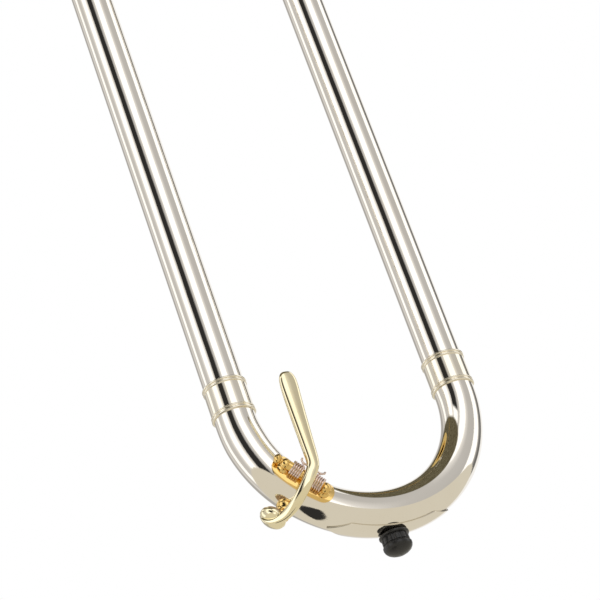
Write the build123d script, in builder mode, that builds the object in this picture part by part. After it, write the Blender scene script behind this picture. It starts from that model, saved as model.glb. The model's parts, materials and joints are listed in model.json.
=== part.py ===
"""A straight tenor trombone with a large bore, slide closed, bell above the slide.

+X points forward along the hand slide, to the bow and out of the bell. +Z points from the hand
slide up to the bell, and +Y to the player's left. The origin is the middle of the inner slide
brace, which the left hand holds. All sizes are in millimetres.
"""

from build123d import *

import math
import os

# ---- driving sizes -------------------------------------------------------------------------
SLIDE_SPACING = 90.0  # between the centre lines of the two hand slide tubes
BELL_Y = SLIDE_SPACING / 2  # the tube that leads to the bell
MOUTH_Y = -SLIDE_SPACING / 2  # the tube that leads to the mouthpiece
BORE_R = 6.95
INNER_TUBE_R = 7.20
STOCKING_R = 7.30
OUTER_TUBE_BORE_R = 7.36
OUTER_TUBE_R = 7.625
GAP = 0.03  # room left between two soldered pieces

BOW_X = 700.0  # where the tubes end and the half circle of the bow starts
BOW_RADIUS = SLIDE_SPACING / 2
BOW_WALL = 0.5
BOW_TAIL = 8.0  # straight end of the bow inside its ferrule
# angle round the bow from the bell side, and the tube's outer radius there
BOW_SECTIONS = [(0, 7.64), (14, 7.90), (45, 8.05), (90, 8.20), (135, 7.95), (166, 7.70), (180, 7.64)]

INNER_START_X = -10.0
STOCKING_START_X = 578.0
INNER_END_X = 688.0
BARREL_X = (12.0, 48.0)
OUTER_START_X = 30.0
GRIP_X = (50.0, 150.0)
OUTER_BRACE_X = 72.0

BELL_HEIGHT = 165.0  # bell axis above the hand slide
BELL_TAIL_X = -184.0
BELL_THROAT_X = 40.0  # where the narrow stem ends and the throat begins
BELL_SEAM_X = 150.0
BELL_RIM_X = 280.0
BELL_RIM_R = 108.0
BELL_WALL = 0.5
TUNING_BOW_X = -310.0
TUNING_RADIUS = BELL_HEIGHT / 2
SOCKET_X = (-78.0, -20.0)

WATER_KEY_ANGLE = 45.0  # round the bow from the bell side
PIVOT_DROP = 12.2  # from the bow's centre line down to the hinge


# ---- helpers -------------------------------------------------------------------------------
def along_x(y, z=0.0):
    """The plane at x = 0 whose local x runs forward and whose local y is the radius upward."""
    return Plane(origin=(0, y, z), x_dir=(1, 0, 0), z_dir=(0, -1, 0))


def turned(points, y, z=0.0):
    """A solid turned about the line through (y, z) along X. Each point is (x, radius)."""
    with BuildPart() as piece:
        with BuildSketch(along_x(y, z)):
            with BuildLine():
                Polyline(*points, close=True)
            make_face()
        revolve(axis=Axis((0, y, z), (1, 0, 0)))
    return piece.part


def tube(x0, x1, inner, outer, y, z=0.0):
    """A plain straight tube along X."""
    return turned([(x0, inner), (x1, inner), (x1, outer), (x0, outer)], y, z)


def write(part, name):
    """Labels a finished piece and writes it as one STEP file."""
    part.label = name
    export_step(part, f"parts/{name}.step")


def slide_point(angle, radius=BOW_RADIUS):
    """A point on the hand slide bow's centre line, by its angle from the bell side."""
    a = math.radians(angle)
    return Vector(BOW_X + radius * math.sin(a), radius * math.cos(a), 0)


def slide_direction(angle):
    """The direction of the bow's centre line at an angle from the bell side."""
    a = math.radians(angle)
    return Vector(math.cos(a), -math.sin(a), 0)


def bent_tube(sections, place, direction, shrink, side=(0, 0, 1)):
    """A solid through round sections along an arc. Each section is (angle, radius)."""
    with BuildPart() as piece:
        for angle, radius in sections:
            with BuildSketch(Plane(origin=place(angle), x_dir=side, z_dir=direction(angle))):
                Circle(radius - shrink)
        loft()
    return piece.part


def bead(x, tube_r, bead_r):
    """The points of a half-round raised ring on a turned piece, from back to front."""
    steps = 6
    turns = [math.pi * k / steps for k in range(steps + 1)]
    return [(x - bead_r * math.cos(a), tube_r + bead_r * math.sin(a)) for a in turns]


def cross_tube(x, ends, outer, inner, flange_r, flange_t):
    """A hollow brace in the plane X = x between two tubes, with a saddle-shaped flange on each.

    Each end is (y, z, radius) of the round piece that the flange sits on.
    """
    (y0, z0, r0), (y1, z1, r1) = ends
    way = Vector(0, y1 - y0, z1 - z0).normalized()
    start, end = Vector(x, y0, z0) + way * r0 * 0.7, Vector(x, y1, z1) - way * r1 * 0.7
    with BuildPart() as piece:
        with BuildSketch(Plane(origin=start, x_dir=(1, 0, 0), z_dir=way)):
            Circle(outer)
            Circle(inner, mode=Mode.SUBTRACT)
        extrude(amount=(end - start).length)
        for origin, z_dir, radius in ((start, way, r0), (end, -way, r1)):
            with BuildSketch(Plane(origin=origin, x_dir=(1, 0, 0), z_dir=z_dir)):
                Circle(flange_r)
                Circle(inner, mode=Mode.SUBTRACT)
            extrude(amount=radius * 0.3 + flange_t, taper=12)
        for y, z, radius in ends:
            with BuildSketch(Plane(origin=(x - 20, y, z), x_dir=(0, 1, 0), z_dir=(1, 0, 0))):
                Circle(radius + GAP)
            extrude(amount=40, mode=Mode.SUBTRACT)
    return piece.part


# ---- hand slide: inner slide ---------------------------------------------------------------
def make_inner_slide():
    """The fixed half of the hand slide, which the left hand holds."""
    for side, y in (("upper", MOUTH_Y), ("lower", BELL_Y)):
        back_tube = tube(INNER_START_X, STOCKING_START_X - GAP, BORE_R, INNER_TUBE_R, y)
        write(back_tube, f"inner_tube_{side}")
        write(tube(STOCKING_START_X, INNER_END_X, BORE_R, STOCKING_R, y), f"stocking_{side}")
        back, front = BARREL_X
        barrel = [(back, INNER_TUBE_R + GAP), (back + 2, INNER_TUBE_R + GAP), (back + 2, 8.6), (front, 8.6)]
        barrel += [(front, 9.6), (front - 0.8, 10.2), (back + 3, 10.2), (back + 1.5, 9.8), (back, 9.0)]
        write(turned(barrel, y), f"cork_barrel_{side}")
        cork = tube(back + 2.1, OUTER_START_X - 0.2, INNER_TUBE_R + 0.05, 8.5, y)
        write(cork, f"slide_cork_{side}")
        collar = [(-9.5, 7.3), (9.5, 7.3)] + [(9.5, 8.6), (8.0, 9.6), (-8.0, 9.6), (-9.5, 8.6)]
        write(turned(collar, y), f"inner_brace_collar_{side}")
    ends = ((MOUTH_Y, 0, 9.6), (BELL_Y, 0, 9.6))
    write(cross_tube(0, ends, 4.8, 4.0, 7.6, 1.8), "inner_brace")


def make_mouthpiece_end():
    """The mouthpiece, its receiver and the leadpipe, all on the upper tube."""
    receiver = [(-66, 6.87), (-36, 6.37), (-36, 6.95), (-10.2, 6.95), (-10.2, 8.4)]
    receiver += bead(-14, 8.4, 0.7)[::-1] + bead(-58, 8.4, 0.8)[::-1]
    receiver += [(-61, 8.4), (-64.5, 9.2), (-66, 9.2)]
    write(turned(receiver, MOUTH_Y), "mouthpiece_receiver")
    leadpipe = [(-35.8, 5.5), (60, 5.9), (180, 6.85), (180, 6.92), (-35.8, 6.92)]
    write(turned(leadpipe, MOUTH_Y), "leadpipe")

    with BuildPart() as mouthpiece:
        with BuildSketch(along_x(MOUTH_Y)):
            with BuildLine():
                rim = Spline((-123.6, 13.0), (-125.0, 15.0), (-124.4, 18.2), (-121.4, 19.6))
                wall = Spline((-121.4, 19.6), (-112, 18.2), (-99, 11.4), (-90, 7.9), (-82, 6.9))
                Polyline((-82, 6.9), (-66, 6.82), (-38, 6.35), (-38, 5.5), (-84, 3.9), (-96, 3.6))
                cup = Spline((-96, 3.6), (-101, 5.2), (-109, 9.8), (-116, 12.1), (-123.6, 13.0))
            make_face()
        revolve(axis=Axis((0, MOUTH_Y, 0), (1, 0, 0)))
    write(mouthpiece.part, "mouthpiece")


def make_bell_connection():
    """The tapered tenon on the lower tube, the socket on the bell section and the lock nut."""
    tenon = [(-52, BORE_R), (-10.2, BORE_R), (-10.2, 9.6), (-13, 10.6), (-17, 10.6), (-17, 9.5), (-52, 8.55)]
    write(turned(tenon, BELL_Y), "slide_tenon")
    back, front = SOCKET_X
    socket = [(back, 7.55), (-53, 7.55), (-53, 8.55), (-52, 8.60), (front, 9.47), (front, 11.2), (-38, 11.2)]
    socket += [(-38.5, 11.9), (-42, 11.9), (-42.5, 11.2), (-70, 10.2), (-73, 9.2), (back, 8.8)]
    write(turned(socket, BELL_Y), "bell_socket")

    nut_r, nut_x = 14.0, (-36.0, -17.2)
    with BuildPart() as nut:
        with BuildSketch(along_x(BELL_Y)):
            with BuildLine():
                nut_points = [(nut_x[0], 11.3), (-18.6, 11.3), (-18.6, 9.75), (nut_x[1], 9.75)]
                nut_points += [(nut_x[1], 12.4), (-18.4, 13.2), (-20, nut_r), (-34, nut_r), (nut_x[0], 13.2)]
                Polyline(*nut_points, close=True)
            make_face()
        revolve(axis=Axis((0, BELL_Y, 0), (1, 0, 0)))
        grooves = 24
        with BuildSketch(Plane(origin=(-33, BELL_Y, 0), x_dir=(0, 1, 0), z_dir=(1, 0, 0))):
            with PolarLocations(nut_r + 0.35, grooves):
                Circle(0.8)
        extrude(amount=12, mode=Mode.SUBTRACT)
    write(nut.part, "bell_lock_nut")


def make_slide_lock():
    """The turning lock ring on the upper cork barrel and the pin that it catches."""
    tube_axis = Plane(origin=(0, MOUTH_Y, 0), x_dir=(0, 1, 0), z_dir=(1, 0, 0))
    finger_in, finger_out = 10.3, 11.6
    finger_start, finger_end = 20.0, 58.0
    slot_start, slot_end = 12.0, 44.0

    def around(angle, radius):
        a = math.radians(angle)
        return (radius * math.cos(a), radius * math.sin(a))

    with BuildPart() as ring:
        with BuildSketch(tube_axis.offset(38.0)):
            Circle(finger_out)
            Circle(10.26, mode=Mode.SUBTRACT)
        extrude(amount=8.0)
        with BuildSketch(tube_axis.offset(45.0)):
            with BuildLine():
                middle = (finger_start + finger_end) / 2
                for radius in (finger_in, finger_out):
                    ThreePointArc(*[around(angle, radius) for angle in (finger_start, middle, finger_end)])
                for angle in (finger_start, finger_end):
                    Line(around(angle, finger_in), around(angle, finger_out))
            make_face()
        extrude(amount=13.0)
        with BuildSketch(tube_axis.offset(51.0)):
            with BuildLine():
                Polyline((0, 0), around(slot_start, 20), around(slot_end, 20), close=True)
            make_face()
        extrude(amount=3.4, mode=Mode.SUBTRACT)
    write(ring.part, "slide_lock_ring")

    with BuildPart() as pin:
        with BuildSketch(Plane(origin=(52.7, MOUTH_Y + 8.9, 0), x_dir=(1, 0, 0), z_dir=(0, 1, 0))):
            Circle(1.3)
        extrude(amount=3.2)
    write(pin.part, "slide_lock_pin")


# ---- hand slide: outer slide ---------------------------------------------------------------
def make_outer_tubes():
    """The two moving tubes, their grip sleeves, end rings and the handle between them."""
    start, grip_end = GRIP_X
    for side, y in (("upper", MOUTH_Y), ("lower", BELL_Y)):
        tube_end = BOW_X - BOW_TAIL - GAP
        write(tube(OUTER_START_X, tube_end, OUTER_TUBE_BORE_R, OUTER_TUBE_R, y), f"outer_tube_{side}")
        ring = tube(OUTER_START_X, OUTER_START_X + 3, OUTER_TUBE_R + GAP, 8.3, y)
        write(ring, f"tube_end_ring_{side}")
        sleeve = [(start, OUTER_TUBE_R + GAP), (grip_end, OUTER_TUBE_R + GAP), (grip_end, 8.2)]
        sleeve += bead(grip_end - 1.2, 8.3, 0.6)[::-1] + bead(start + 7.5, 8.3, 0.6)[::-1]
        sleeve += [(start + 5.5, 8.9), (start + 0.4, 8.9), (start, 8.5)]
        write(turned(sleeve, y), f"grip_sleeve_{side}")
        centre = OUTER_BRACE_X
        collar = [(centre - 10, 8.33), (centre + 10, 8.33), (centre + 9, 9.5), (centre - 9, 9.5)]
        write(turned(collar, y), f"outer_brace_collar_{side}")
    ends = ((MOUTH_Y, 0, 9.5), (BELL_Y, 0, 9.5))
    write(cross_tube(OUTER_BRACE_X, ends, 5.2, 4.4, 7.8, 1.8), "outer_brace")


def make_bow():
    """The bow with its two ferrules and the wear plate round its outer side."""
    outside = bent_tube(BOW_SECTIONS, slide_point, slide_direction, 0)
    inside = bent_tube(BOW_SECTIONS, slide_point, slide_direction, BOW_WALL)
    with BuildPart() as bow:
        add(outside)
        for y in (BELL_Y, MOUTH_Y):
            with BuildSketch(Plane(origin=(BOW_X - BOW_TAIL, y, 0), x_dir=(0, 1, 0), z_dir=(1, 0, 0))):
                Circle(BOW_SECTIONS[0][1])
            extrude(amount=BOW_TAIL)
        add(inside, mode=Mode.SUBTRACT)
        for y in (BELL_Y, MOUTH_Y):
            with BuildSketch(Plane(origin=(BOW_X - BOW_TAIL, y, 0), x_dir=(0, 1, 0), z_dir=(1, 0, 0))):
                Circle(BOW_SECTIONS[0][1] - BOW_WALL)
            extrude(amount=BOW_TAIL, mode=Mode.SUBTRACT)
    write(bow.part, "slide_bow")

    for side, y in (("upper", MOUTH_Y), ("lower", BELL_Y)):
        back, front = BOW_X - 14.6, BOW_X - 1.2
        ferrule = [(back, OUTER_TUBE_R + GAP), (front, OUTER_TUBE_R + GAP), (front, 8.05)]
        ferrule += bead(front - 0.6, 8.05, 0.42)[::-1] + bead(back + 0.6, 8.05, 0.36)[::-1]
        ferrule += [(back, 8.05)]
        write(turned(ferrule, y), f"bow_ferrule_{side}")

    plate_in, plate_out = 8.26, 8.80
    tip_angle, shoulder_angle, half_width = 62.0, 73.0, 4.7
    bow_axis = Plane(origin=slide_point(tip_angle), x_dir=(0, 0, 1), z_dir=slide_direction(tip_angle))
    with BuildPart() as guard:
        with BuildSketch(bow_axis):
            Circle(plate_out)
            Circle(plate_in, mode=Mode.SUBTRACT)
        revolve(axis=Axis((BOW_X, 0, 0), (0, 0, -1)), revolution_arc=180 - 2 * tip_angle)
        tip_y = (BOW_RADIUS + plate_out) * math.cos(math.radians(tip_angle))
        shoulder_y = (BOW_RADIUS + plate_out) * math.cos(math.radians(shoulder_angle))
        with BuildSketch(Plane(origin=(BOW_X + 25, 0, 0), x_dir=(0, 1, 0), z_dir=(1, 0, 0))):
            with BuildLine():
                corners = [(tip_y, 0), (shoulder_y, half_width), (-shoulder_y, half_width), (-tip_y, 0)]
                Polyline(*corners, (-shoulder_y, -half_width), (shoulder_y, -half_width), close=True)
            make_face()
        extrude(amount=60, mode=Mode.INTERSECT)
        tip_x = BOW_X + BOW_RADIUS * math.sin(math.radians(tip_angle))
        split(bisect_by=Plane(origin=(tip_x, 0, 0), z_dir=(1, 0, 0)))
    write(guard.part, "bow_guard")


def make_bumper():
    """The black rubber bumper on its brass stud, at the crown of the bow."""
    crown = BOW_X + BOW_RADIUS + 8.80
    stud_r, stud_length, hole_r, hole_end = 2.4, 4.4, 2.45, 4.7
    base_r, barrel_r, dome_r, length = 5.4, 4.9, 5.5, 8.4
    with BuildPart() as stud:
        with BuildSketch(Plane(origin=(crown + 0.05, 0, 0), x_dir=(0, 1, 0), z_dir=(1, 0, 0))):
            Circle(stud_r)
        extrude(amount=stud_length)
    write(stud.part, "bumper_stud")

    hole = [(0.15, hole_r), (hole_end, hole_r), (hole_end, 0), (length, 0)]
    side = [(5.5, dome_r), (4.7, 5.4), (4.5, 5.0), (4.1, 5.0), (3.9, barrel_r + 0.2), (1.3, barrel_r)]
    side += [(0.9, base_r), (0.15, base_r), (0.15, hole_r)]
    with BuildPart() as bumper:
        with BuildSketch(along_x(0)):
            with BuildLine():
                Polyline(*[(crown + x, r) for x, r in hole])
                dome = [(crown + length, 0), (crown + length - 0.8, 3.0), (crown + 5.5, dome_r)]
                Spline(*dome, tangents=[(0, 1), (-1, 0)])
                Polyline(*[(crown + x, r) for x, r in side])
            make_face()
        revolve(axis=Axis((0, 0, 0), (1, 0, 0)))
        with BuildSketch(Plane(origin=(crown + 1.2, 0, 0), x_dir=(0, 1, 0), z_dir=(1, 0, 0))):
            with PolarLocations(barrel_r - 0.1, 14):
                Circle(0.55)
        extrude(amount=2.6)
    write(bumper.part, "bumper")


# ---- water key -----------------------------------------------------------------------------
def key_frame(tangent=0.0, outward=0.0, drop=0.0):
    """A point by its place along the bow, outward from the bow's centre line, and downward."""
    way = slide_direction(WATER_KEY_ANGLE)
    out = Vector(math.sin(math.radians(WATER_KEY_ANGLE)), math.cos(math.radians(WATER_KEY_ANGLE)), 0)
    return slide_point(WATER_KEY_ANGLE) + way * tangent + out * outward + Vector(0, 0, -drop)


def key_plane(tangent, outward, drop, normal):
    """A sketch plane at a point of the water key. Its normal is along, out or down."""
    way = slide_direction(WATER_KEY_ANGLE)
    out = Vector(math.sin(math.radians(WATER_KEY_ANGLE)), math.cos(math.radians(WATER_KEY_ANGLE)), 0)
    z_dir = {"along": way, "out": out, "down": Vector(0, 0, -1)}[normal]
    x_dir = {"along": out, "out": way, "down": way}[normal]
    return Plane(origin=key_frame(tangent, outward, drop), x_dir=x_dir, z_dir=z_dir)


def make_water_key():
    """The saddle, the hinge screw and the nipple of the water key."""
    plate_in, plate_out = 8.12, 9.1
    half_span, half_width = 15.5, 3.9
    start = WATER_KEY_ANGLE - half_span - 2
    with BuildPart() as saddle:
        with BuildSketch(Plane(origin=slide_point(start), x_dir=(0, 0, 1), z_dir=slide_direction(start))):
            Circle(plate_out)
            Circle(plate_in, mode=Mode.SUBTRACT)
        revolve(axis=Axis((BOW_X, 0, 0), (0, 0, -1)), revolution_arc=2 * half_span + 4)
        with BuildSketch(key_plane(0, -0.4, 0, "down")):
            RectangleRounded(24.5, 2 * half_width, 3.4)
        extrude(amount=20, mode=Mode.INTERSECT)
        for tangent in (-9.6, 7.4):
            with BuildSketch(key_plane(tangent, 0, PIVOT_DROP, "along")):
                Circle(2.3)
                with Locations((0, 1.7)):
                    Rectangle(4.2, 3.4)
                Circle(0.92, mode=Mode.SUBTRACT)
            extrude(amount=2.2)
    write(saddle.part, "key_saddle")

    with BuildPart() as screw:
        with BuildSketch(key_plane(-9.9, 0, PIVOT_DROP, "along")):
            Circle(0.9)
        extrude(amount=20.2)
        with BuildSketch(key_plane(-11.6, 0, PIVOT_DROP, "along")):
            Circle(1.9)
        extrude(amount=1.9)
    write(screw.part, "key_hinge_screw")

    nipple_top = 12.9
    bow_outside = bent_tube(BOW_SECTIONS[1:4], slide_point, slide_direction, -0.02)
    with BuildPart() as nipple:
        with BuildSketch(key_plane(0, 7.3, 0.6, "out")):
            Circle(3.6)
            Circle(2.0, mode=Mode.SUBTRACT)
        extrude(amount=1.9)
        with BuildSketch(key_plane(0, 7.3, 0.6, "out")):
            Circle(2.7)
            Circle(2.0, mode=Mode.SUBTRACT)
        extrude(amount=nipple_top - 7.3)
        add(bow_outside, mode=Mode.SUBTRACT)
    write(nipple.part, "water_nipple")

def make_key_lever():
    """The lever with its hinge tube, its touch, the cup at its end and the cork in the cup."""
    hinge_r, hinge_bore_r = 1.75, 0.95
    cup_side, cup_r, cork_r, cork_bottom, cup_bottom = -2.0, 4.9, 4.1, 12.95, 14.1
    along_touch = (-1, 0, -0.1)
    touch = [((730.4, 29.4, -16.0), (-0.9, -0.4, -0.1), 4.4, 2.4)]
    touch += [((724.5, 29.4, -16.6), along_touch, 3.6, 2.4), ((715.0, 29.6, -17.4), along_touch, 4.0, 2.4)]
    touch += [((705.0, 29.6, -18.3), along_touch, 5.6, 2.5)]
    touch += [((698.0, 29.4, -19.0), along_touch, 7.4, 2.9), ((693.6, 29.3, -19.4), along_touch, 5.4, 2.2)]
    arm = [(-3.4, 1.6, 15.9, (1, -0.2, -0.1)), (3.6, 0.4, 15.7, (1, -0.1, -0.1))]
    arm += [(9.8, -0.6, 14.5, (1, -0.1, -0.5)), (14.9, -1.4, 10.4, (0.6, -0.1, -1))]
    arm += [(17.1, -2.0, 5.2, (0.2, 0, -1)), (17.4, -2.0, 0.0, (0, 0, -1))]
    touch_bar, arm_bar = flat_bar(touch), flat_bar(to_bar_sections(arm))
    with BuildPart() as lever:
        with BuildSketch(key_plane(-7.2, 0, PIVOT_DROP, "along")):
            Circle(hinge_r)
        extrude(amount=14.4)
        with BuildSketch(key_plane(-1.2, 0, PIVOT_DROP, "along")):
            with Locations((0, -1.4)):
                Rectangle(4.0, 3.4)
        extrude(amount=4.0)
        add(touch_bar)
        add(arm_bar)
        with BuildSketch(key_plane(cup_side, cup_bottom, 0.6, "out")):
            Circle(cup_r)
        extrude(amount=2.8)
        with BuildSketch(key_plane(cup_side, cup_bottom, 0.6, "out")):
            Circle(cork_r + 0.05)
        extrude(amount=1.5, mode=Mode.SUBTRACT)
        with BuildSketch(key_plane(-7.2, 0, PIVOT_DROP, "along")):
            Circle(hinge_bore_r)
        extrude(amount=14.4, mode=Mode.SUBTRACT)
    write(lever.part, "key_lever")

    with BuildPart() as cork:
        with BuildSketch(key_plane(cup_side, cork_bottom, 0.6, "out")):
            Circle(cork_r)
        extrude(amount=cup_bottom + 1.45 - cork_bottom)
    write(cork.part, "key_cork")


def make_key_spring():
    """The double spring coiled round the water key's hinge, with a loop under the lever."""
    coil_r, wire_r, pitch, steps = 2.45, 0.37, 0.84, 12
    turns = 4.5
    first, second = -5.6, 6.9
    points = [key_frame(first, -4.8, 9.7), key_frame(first, -2.6, 9.75)]
    for k in range(int(turns * steps) + 1):
        a = 2 * math.pi * (k / steps - 0.25)
        across = first + pitch * k / steps
        points.append(key_frame(across, coil_r * math.cos(a), PIVOT_DROP + coil_r * math.sin(a)))
    loop_start, loop_end = first + pitch * turns, second - pitch * turns
    middle, reach = (loop_start + loop_end) / 2, (loop_end - loop_start) / 2
    points.append(key_frame(loop_start, -4.0, PIVOT_DROP + coil_r))
    for k in range(7):
        a = math.pi * k / 6
        across, outward = middle - reach * math.cos(a), -6.6 - reach * math.sin(a)
        points.append(key_frame(across, outward, PIVOT_DROP + coil_r))
    points.append(key_frame(loop_end, -4.0, PIVOT_DROP + coil_r))
    for k in range(int(turns * steps), -1, -1):
        a = 2 * math.pi * (k / steps - 0.25)
        across = second - pitch * k / steps
        points.append(key_frame(across, coil_r * math.cos(a), PIVOT_DROP + coil_r * math.sin(a)))
    points += [key_frame(second, -2.6, 9.75), key_frame(second, -4.8, 9.7)]
    with BuildPart() as spring:
        with BuildLine():
            path = Spline(*points)
        with BuildSketch(Plane(origin=path @ 0, z_dir=path % 0)):
            Circle(wire_r)
        sweep(is_frenet=True)
    write(spring.part, "key_spring")


def to_bar_sections(arm):
    """Turns (outward, tangent, drop, heading) stations into the sections of a flat bar."""
    way = slide_direction(WATER_KEY_ANGLE)
    out = Vector(math.sin(math.radians(WATER_KEY_ANGLE)), math.cos(math.radians(WATER_KEY_ANGLE)), 0)
    widths = (4.2, 4.4, 4.2, 4.0, 4.2, 5.0)
    sections = []
    for (outward, tangent, drop, heading), width in zip(arm, widths):
        point = key_frame(tangent, outward, drop)
        turn = out * heading[0] + way * heading[1] + Vector(0, 0, -heading[2])
        sections.append((tuple(point), tuple(turn), width, 2.2))
    return sections


def flat_bar(sections):
    """A bar through oval sections. Each section is (centre, heading, width, thickness)."""
    with BuildPart() as piece:
        for centre, heading, width, thickness in sections:
            heading = Vector(*heading)
            side = Vector(0, 0, 1).cross(heading)
            if side.length < 0.3:
                side = slide_direction(WATER_KEY_ANGLE)
            with BuildSketch(Plane(origin=centre, x_dir=side, z_dir=heading)):
                Ellipse(width / 2, thickness / 2)
        loft()
    return piece.part


# ---- bell section --------------------------------------------------------------------------
def bell_radius(x):
    """The outside radius of the bell at a place along it."""
    depth, power = 26.6, 0.8
    return BELL_RIM_R * ((BELL_RIM_X - x + depth) / depth) ** -power


def bell_shell(name, x0, x1, stations):
    """A turned stretch of the bell's wall."""
    xs = [x0 + (x1 - x0) * k / stations for k in range(stations + 1)]
    outside = [(x, bell_radius(x)) for x in xs]
    inside = []
    for x, r in outside:
        slope = (bell_radius(x + 0.5) - bell_radius(x - 0.5)) if x < BELL_RIM_X - 1 else 2.6
        lean = math.hypot(1, slope)
        inside.append((x + BELL_WALL * slope / lean, r - BELL_WALL / lean))
    inside[0] = (x0, inside[0][1])
    inside[-1] = (min(inside[-1][0], outside[-1][0]), inside[-1][1])
    with BuildPart() as shell:
        with BuildSketch(along_x(BELL_Y, BELL_HEIGHT)):
            with BuildLine():
                Spline(*outside)
                Spline(*inside)
                Line(outside[0], inside[0])
                Line(outside[-1], inside[-1])
            make_face()
        revolve(axis=Axis((0, BELL_Y, BELL_HEIGHT), (1, 0, 0)))
    write(shell.part, name)


def make_bell():
    """The bell with its rolled rim, its tail ferrule and its two braces to the neckpipe."""
    bell_shell("bell_stem", BELL_TAIL_X, BELL_THROAT_X - GAP, 8)
    bell_shell("bell_throat", BELL_THROAT_X, BELL_SEAM_X - GAP, 8)
    bell_shell("bell_flare", BELL_SEAM_X, BELL_RIM_X - 0.75, 16)
    with BuildPart() as rim:
        with BuildSketch(along_x(BELL_Y, BELL_HEIGHT)):
            with Locations((BELL_RIM_X - 0.2, BELL_RIM_R - 0.6)):
                Circle(1.7)
        revolve(axis=Axis((0, BELL_Y, BELL_HEIGHT), (1, 0, 0)))
    write(rim.part, "bell_rim")

    neckpipe = [(BELL_TAIL_X, 8.33), (-80, 7.05), (-53.2, BORE_R)]
    neckpipe += [(-53.2, 7.5), (-80, 7.5), (BELL_TAIL_X, 8.78)]
    write(turned(neckpipe, BELL_Y), "neckpipe")
    front = ((BELL_Y, 0, 10.9), (BELL_Y, BELL_HEIGHT, bell_radius(-60) + 0.4))
    write(cross_tube(-60, front, 4.8, 4.0, 8.0, 2.2), "bell_brace_front")
    rear = ((BELL_Y, 0, 9.55), (BELL_Y, BELL_HEIGHT, 11.75))
    write(cross_tube(-186, rear, 4.4, 3.6, 7.4, 2.0), "bell_brace_rear")


def make_tuning_slide():
    """The tuning slide: two fixed legs, two sliding legs, the bow, its ferrules and its brace."""
    tail = bell_radius(BELL_TAIL_X)
    legs = (("lower", 0.0, 8.30, 8.78, 8.78), ("upper", BELL_HEIGHT, 10.30, tail, bell_radius(-173)))
    leg_end, bow_end = -276.0, TUNING_BOW_X + 14
    for side, z, leg_r, outer_r, front_r in legs:
        outer = [(leg_end, leg_r + 0.05), (BELL_TAIL_X - GAP, leg_r + 0.05), (BELL_TAIL_X - GAP, outer_r)]
        outer += bead(leg_end + 7.0, outer_r, 0.7)[::-1]
        outer += [(leg_end + 5.2, outer_r + 0.6), (leg_end, outer_r + 0.6)]
        write(turned(outer, BELL_Y, z), f"tuning_outer_leg_{side}")
        write(tube(bow_end + GAP, -198, leg_r - 0.45, leg_r, BELL_Y, z), f"tuning_inner_leg_{side}")
        cover = [(-197, outer_r + GAP), (-175, front_r + GAP)] + bead(-176, outer_r + 0.75, 0.5)[::-1]
        cover += bead(-196, outer_r + 0.75, 0.5)[::-1]
        write(turned(cover, BELL_Y, z), f"bell_ferrule_{side}")
        ferrule = [(bow_end - 1.5, leg_r + 2 * GAP), (leg_end - 2, leg_r + GAP), (leg_end - 2, outer_r + 0.1)]
        ferrule += bead(leg_end - 3.2, outer_r + 0.3, 0.7)[::-1]
        ferrule += bead(bow_end - 0.8, leg_r + 0.9, 0.6)[::-1]
        write(turned(ferrule, BELL_Y, z), f"tuning_ferrule_{side}")

    def place(angle):
        a = math.radians(angle)
        return Vector(bow_end - TUNING_RADIUS * math.sin(a), BELL_Y, TUNING_RADIUS * (1 - math.cos(a)))

    def heading(angle):
        a = math.radians(angle)
        return Vector(-math.cos(a), 0, math.sin(a))

    sections = [(angle, 8.3 + 2.0 * angle / 180) for angle in range(0, 181, 30)]
    with BuildPart() as bow:
        add(bent_tube(sections, place, heading, 0, side=(0, 1, 0)))
        add(bent_tube(sections, place, heading, BOW_WALL, side=(0, 1, 0)), mode=Mode.SUBTRACT)
    write(bow.part, "tuning_bow")
    ends = ((BELL_Y, 0, 9.4), (BELL_Y, BELL_HEIGHT, 11.4))
    write(cross_tube(-287.5, ends, 4.0, 3.2, 6.4, 1.6), "tuning_brace")


os.makedirs("parts", exist_ok=True)
make_inner_slide()
make_mouthpiece_end()
make_bell_connection()
make_slide_lock()
make_outer_tubes()
make_bow()
make_bumper()
make_water_key()
make_key_lever()
make_key_spring()
make_bell()
make_tuning_slide()
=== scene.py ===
# %% [markdown]
# # A tenor trombone, slide closed
#
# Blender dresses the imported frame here. The frame gives the place and the outside size of every
# piece, and this notebook gives each piece its fine shape and its finish. The tubes are mirrors,
# so each one is turned again with many more sides than the frame's plain copy has.

# %% Load the frame
import bmesh
import bpy
import json
import math
from mathutils import Matrix, Vector


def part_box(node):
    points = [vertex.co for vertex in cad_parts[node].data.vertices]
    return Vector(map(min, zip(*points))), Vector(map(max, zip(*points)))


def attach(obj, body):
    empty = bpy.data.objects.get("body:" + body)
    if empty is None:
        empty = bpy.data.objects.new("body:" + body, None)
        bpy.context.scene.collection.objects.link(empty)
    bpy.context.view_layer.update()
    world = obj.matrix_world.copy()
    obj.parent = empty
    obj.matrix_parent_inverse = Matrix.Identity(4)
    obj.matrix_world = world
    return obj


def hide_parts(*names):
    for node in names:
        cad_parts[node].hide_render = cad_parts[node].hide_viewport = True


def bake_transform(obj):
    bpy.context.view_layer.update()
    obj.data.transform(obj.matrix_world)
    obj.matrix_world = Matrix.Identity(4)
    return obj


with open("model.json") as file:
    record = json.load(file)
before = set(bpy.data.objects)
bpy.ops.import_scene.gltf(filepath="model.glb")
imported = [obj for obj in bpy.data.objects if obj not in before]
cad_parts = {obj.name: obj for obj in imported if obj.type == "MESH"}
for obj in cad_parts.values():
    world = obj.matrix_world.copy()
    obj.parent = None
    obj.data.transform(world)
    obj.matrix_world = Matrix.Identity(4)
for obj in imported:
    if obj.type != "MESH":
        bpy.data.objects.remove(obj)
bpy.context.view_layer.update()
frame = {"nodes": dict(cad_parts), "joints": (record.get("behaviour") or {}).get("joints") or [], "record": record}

print("nodes:", len(frame["nodes"]))

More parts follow.
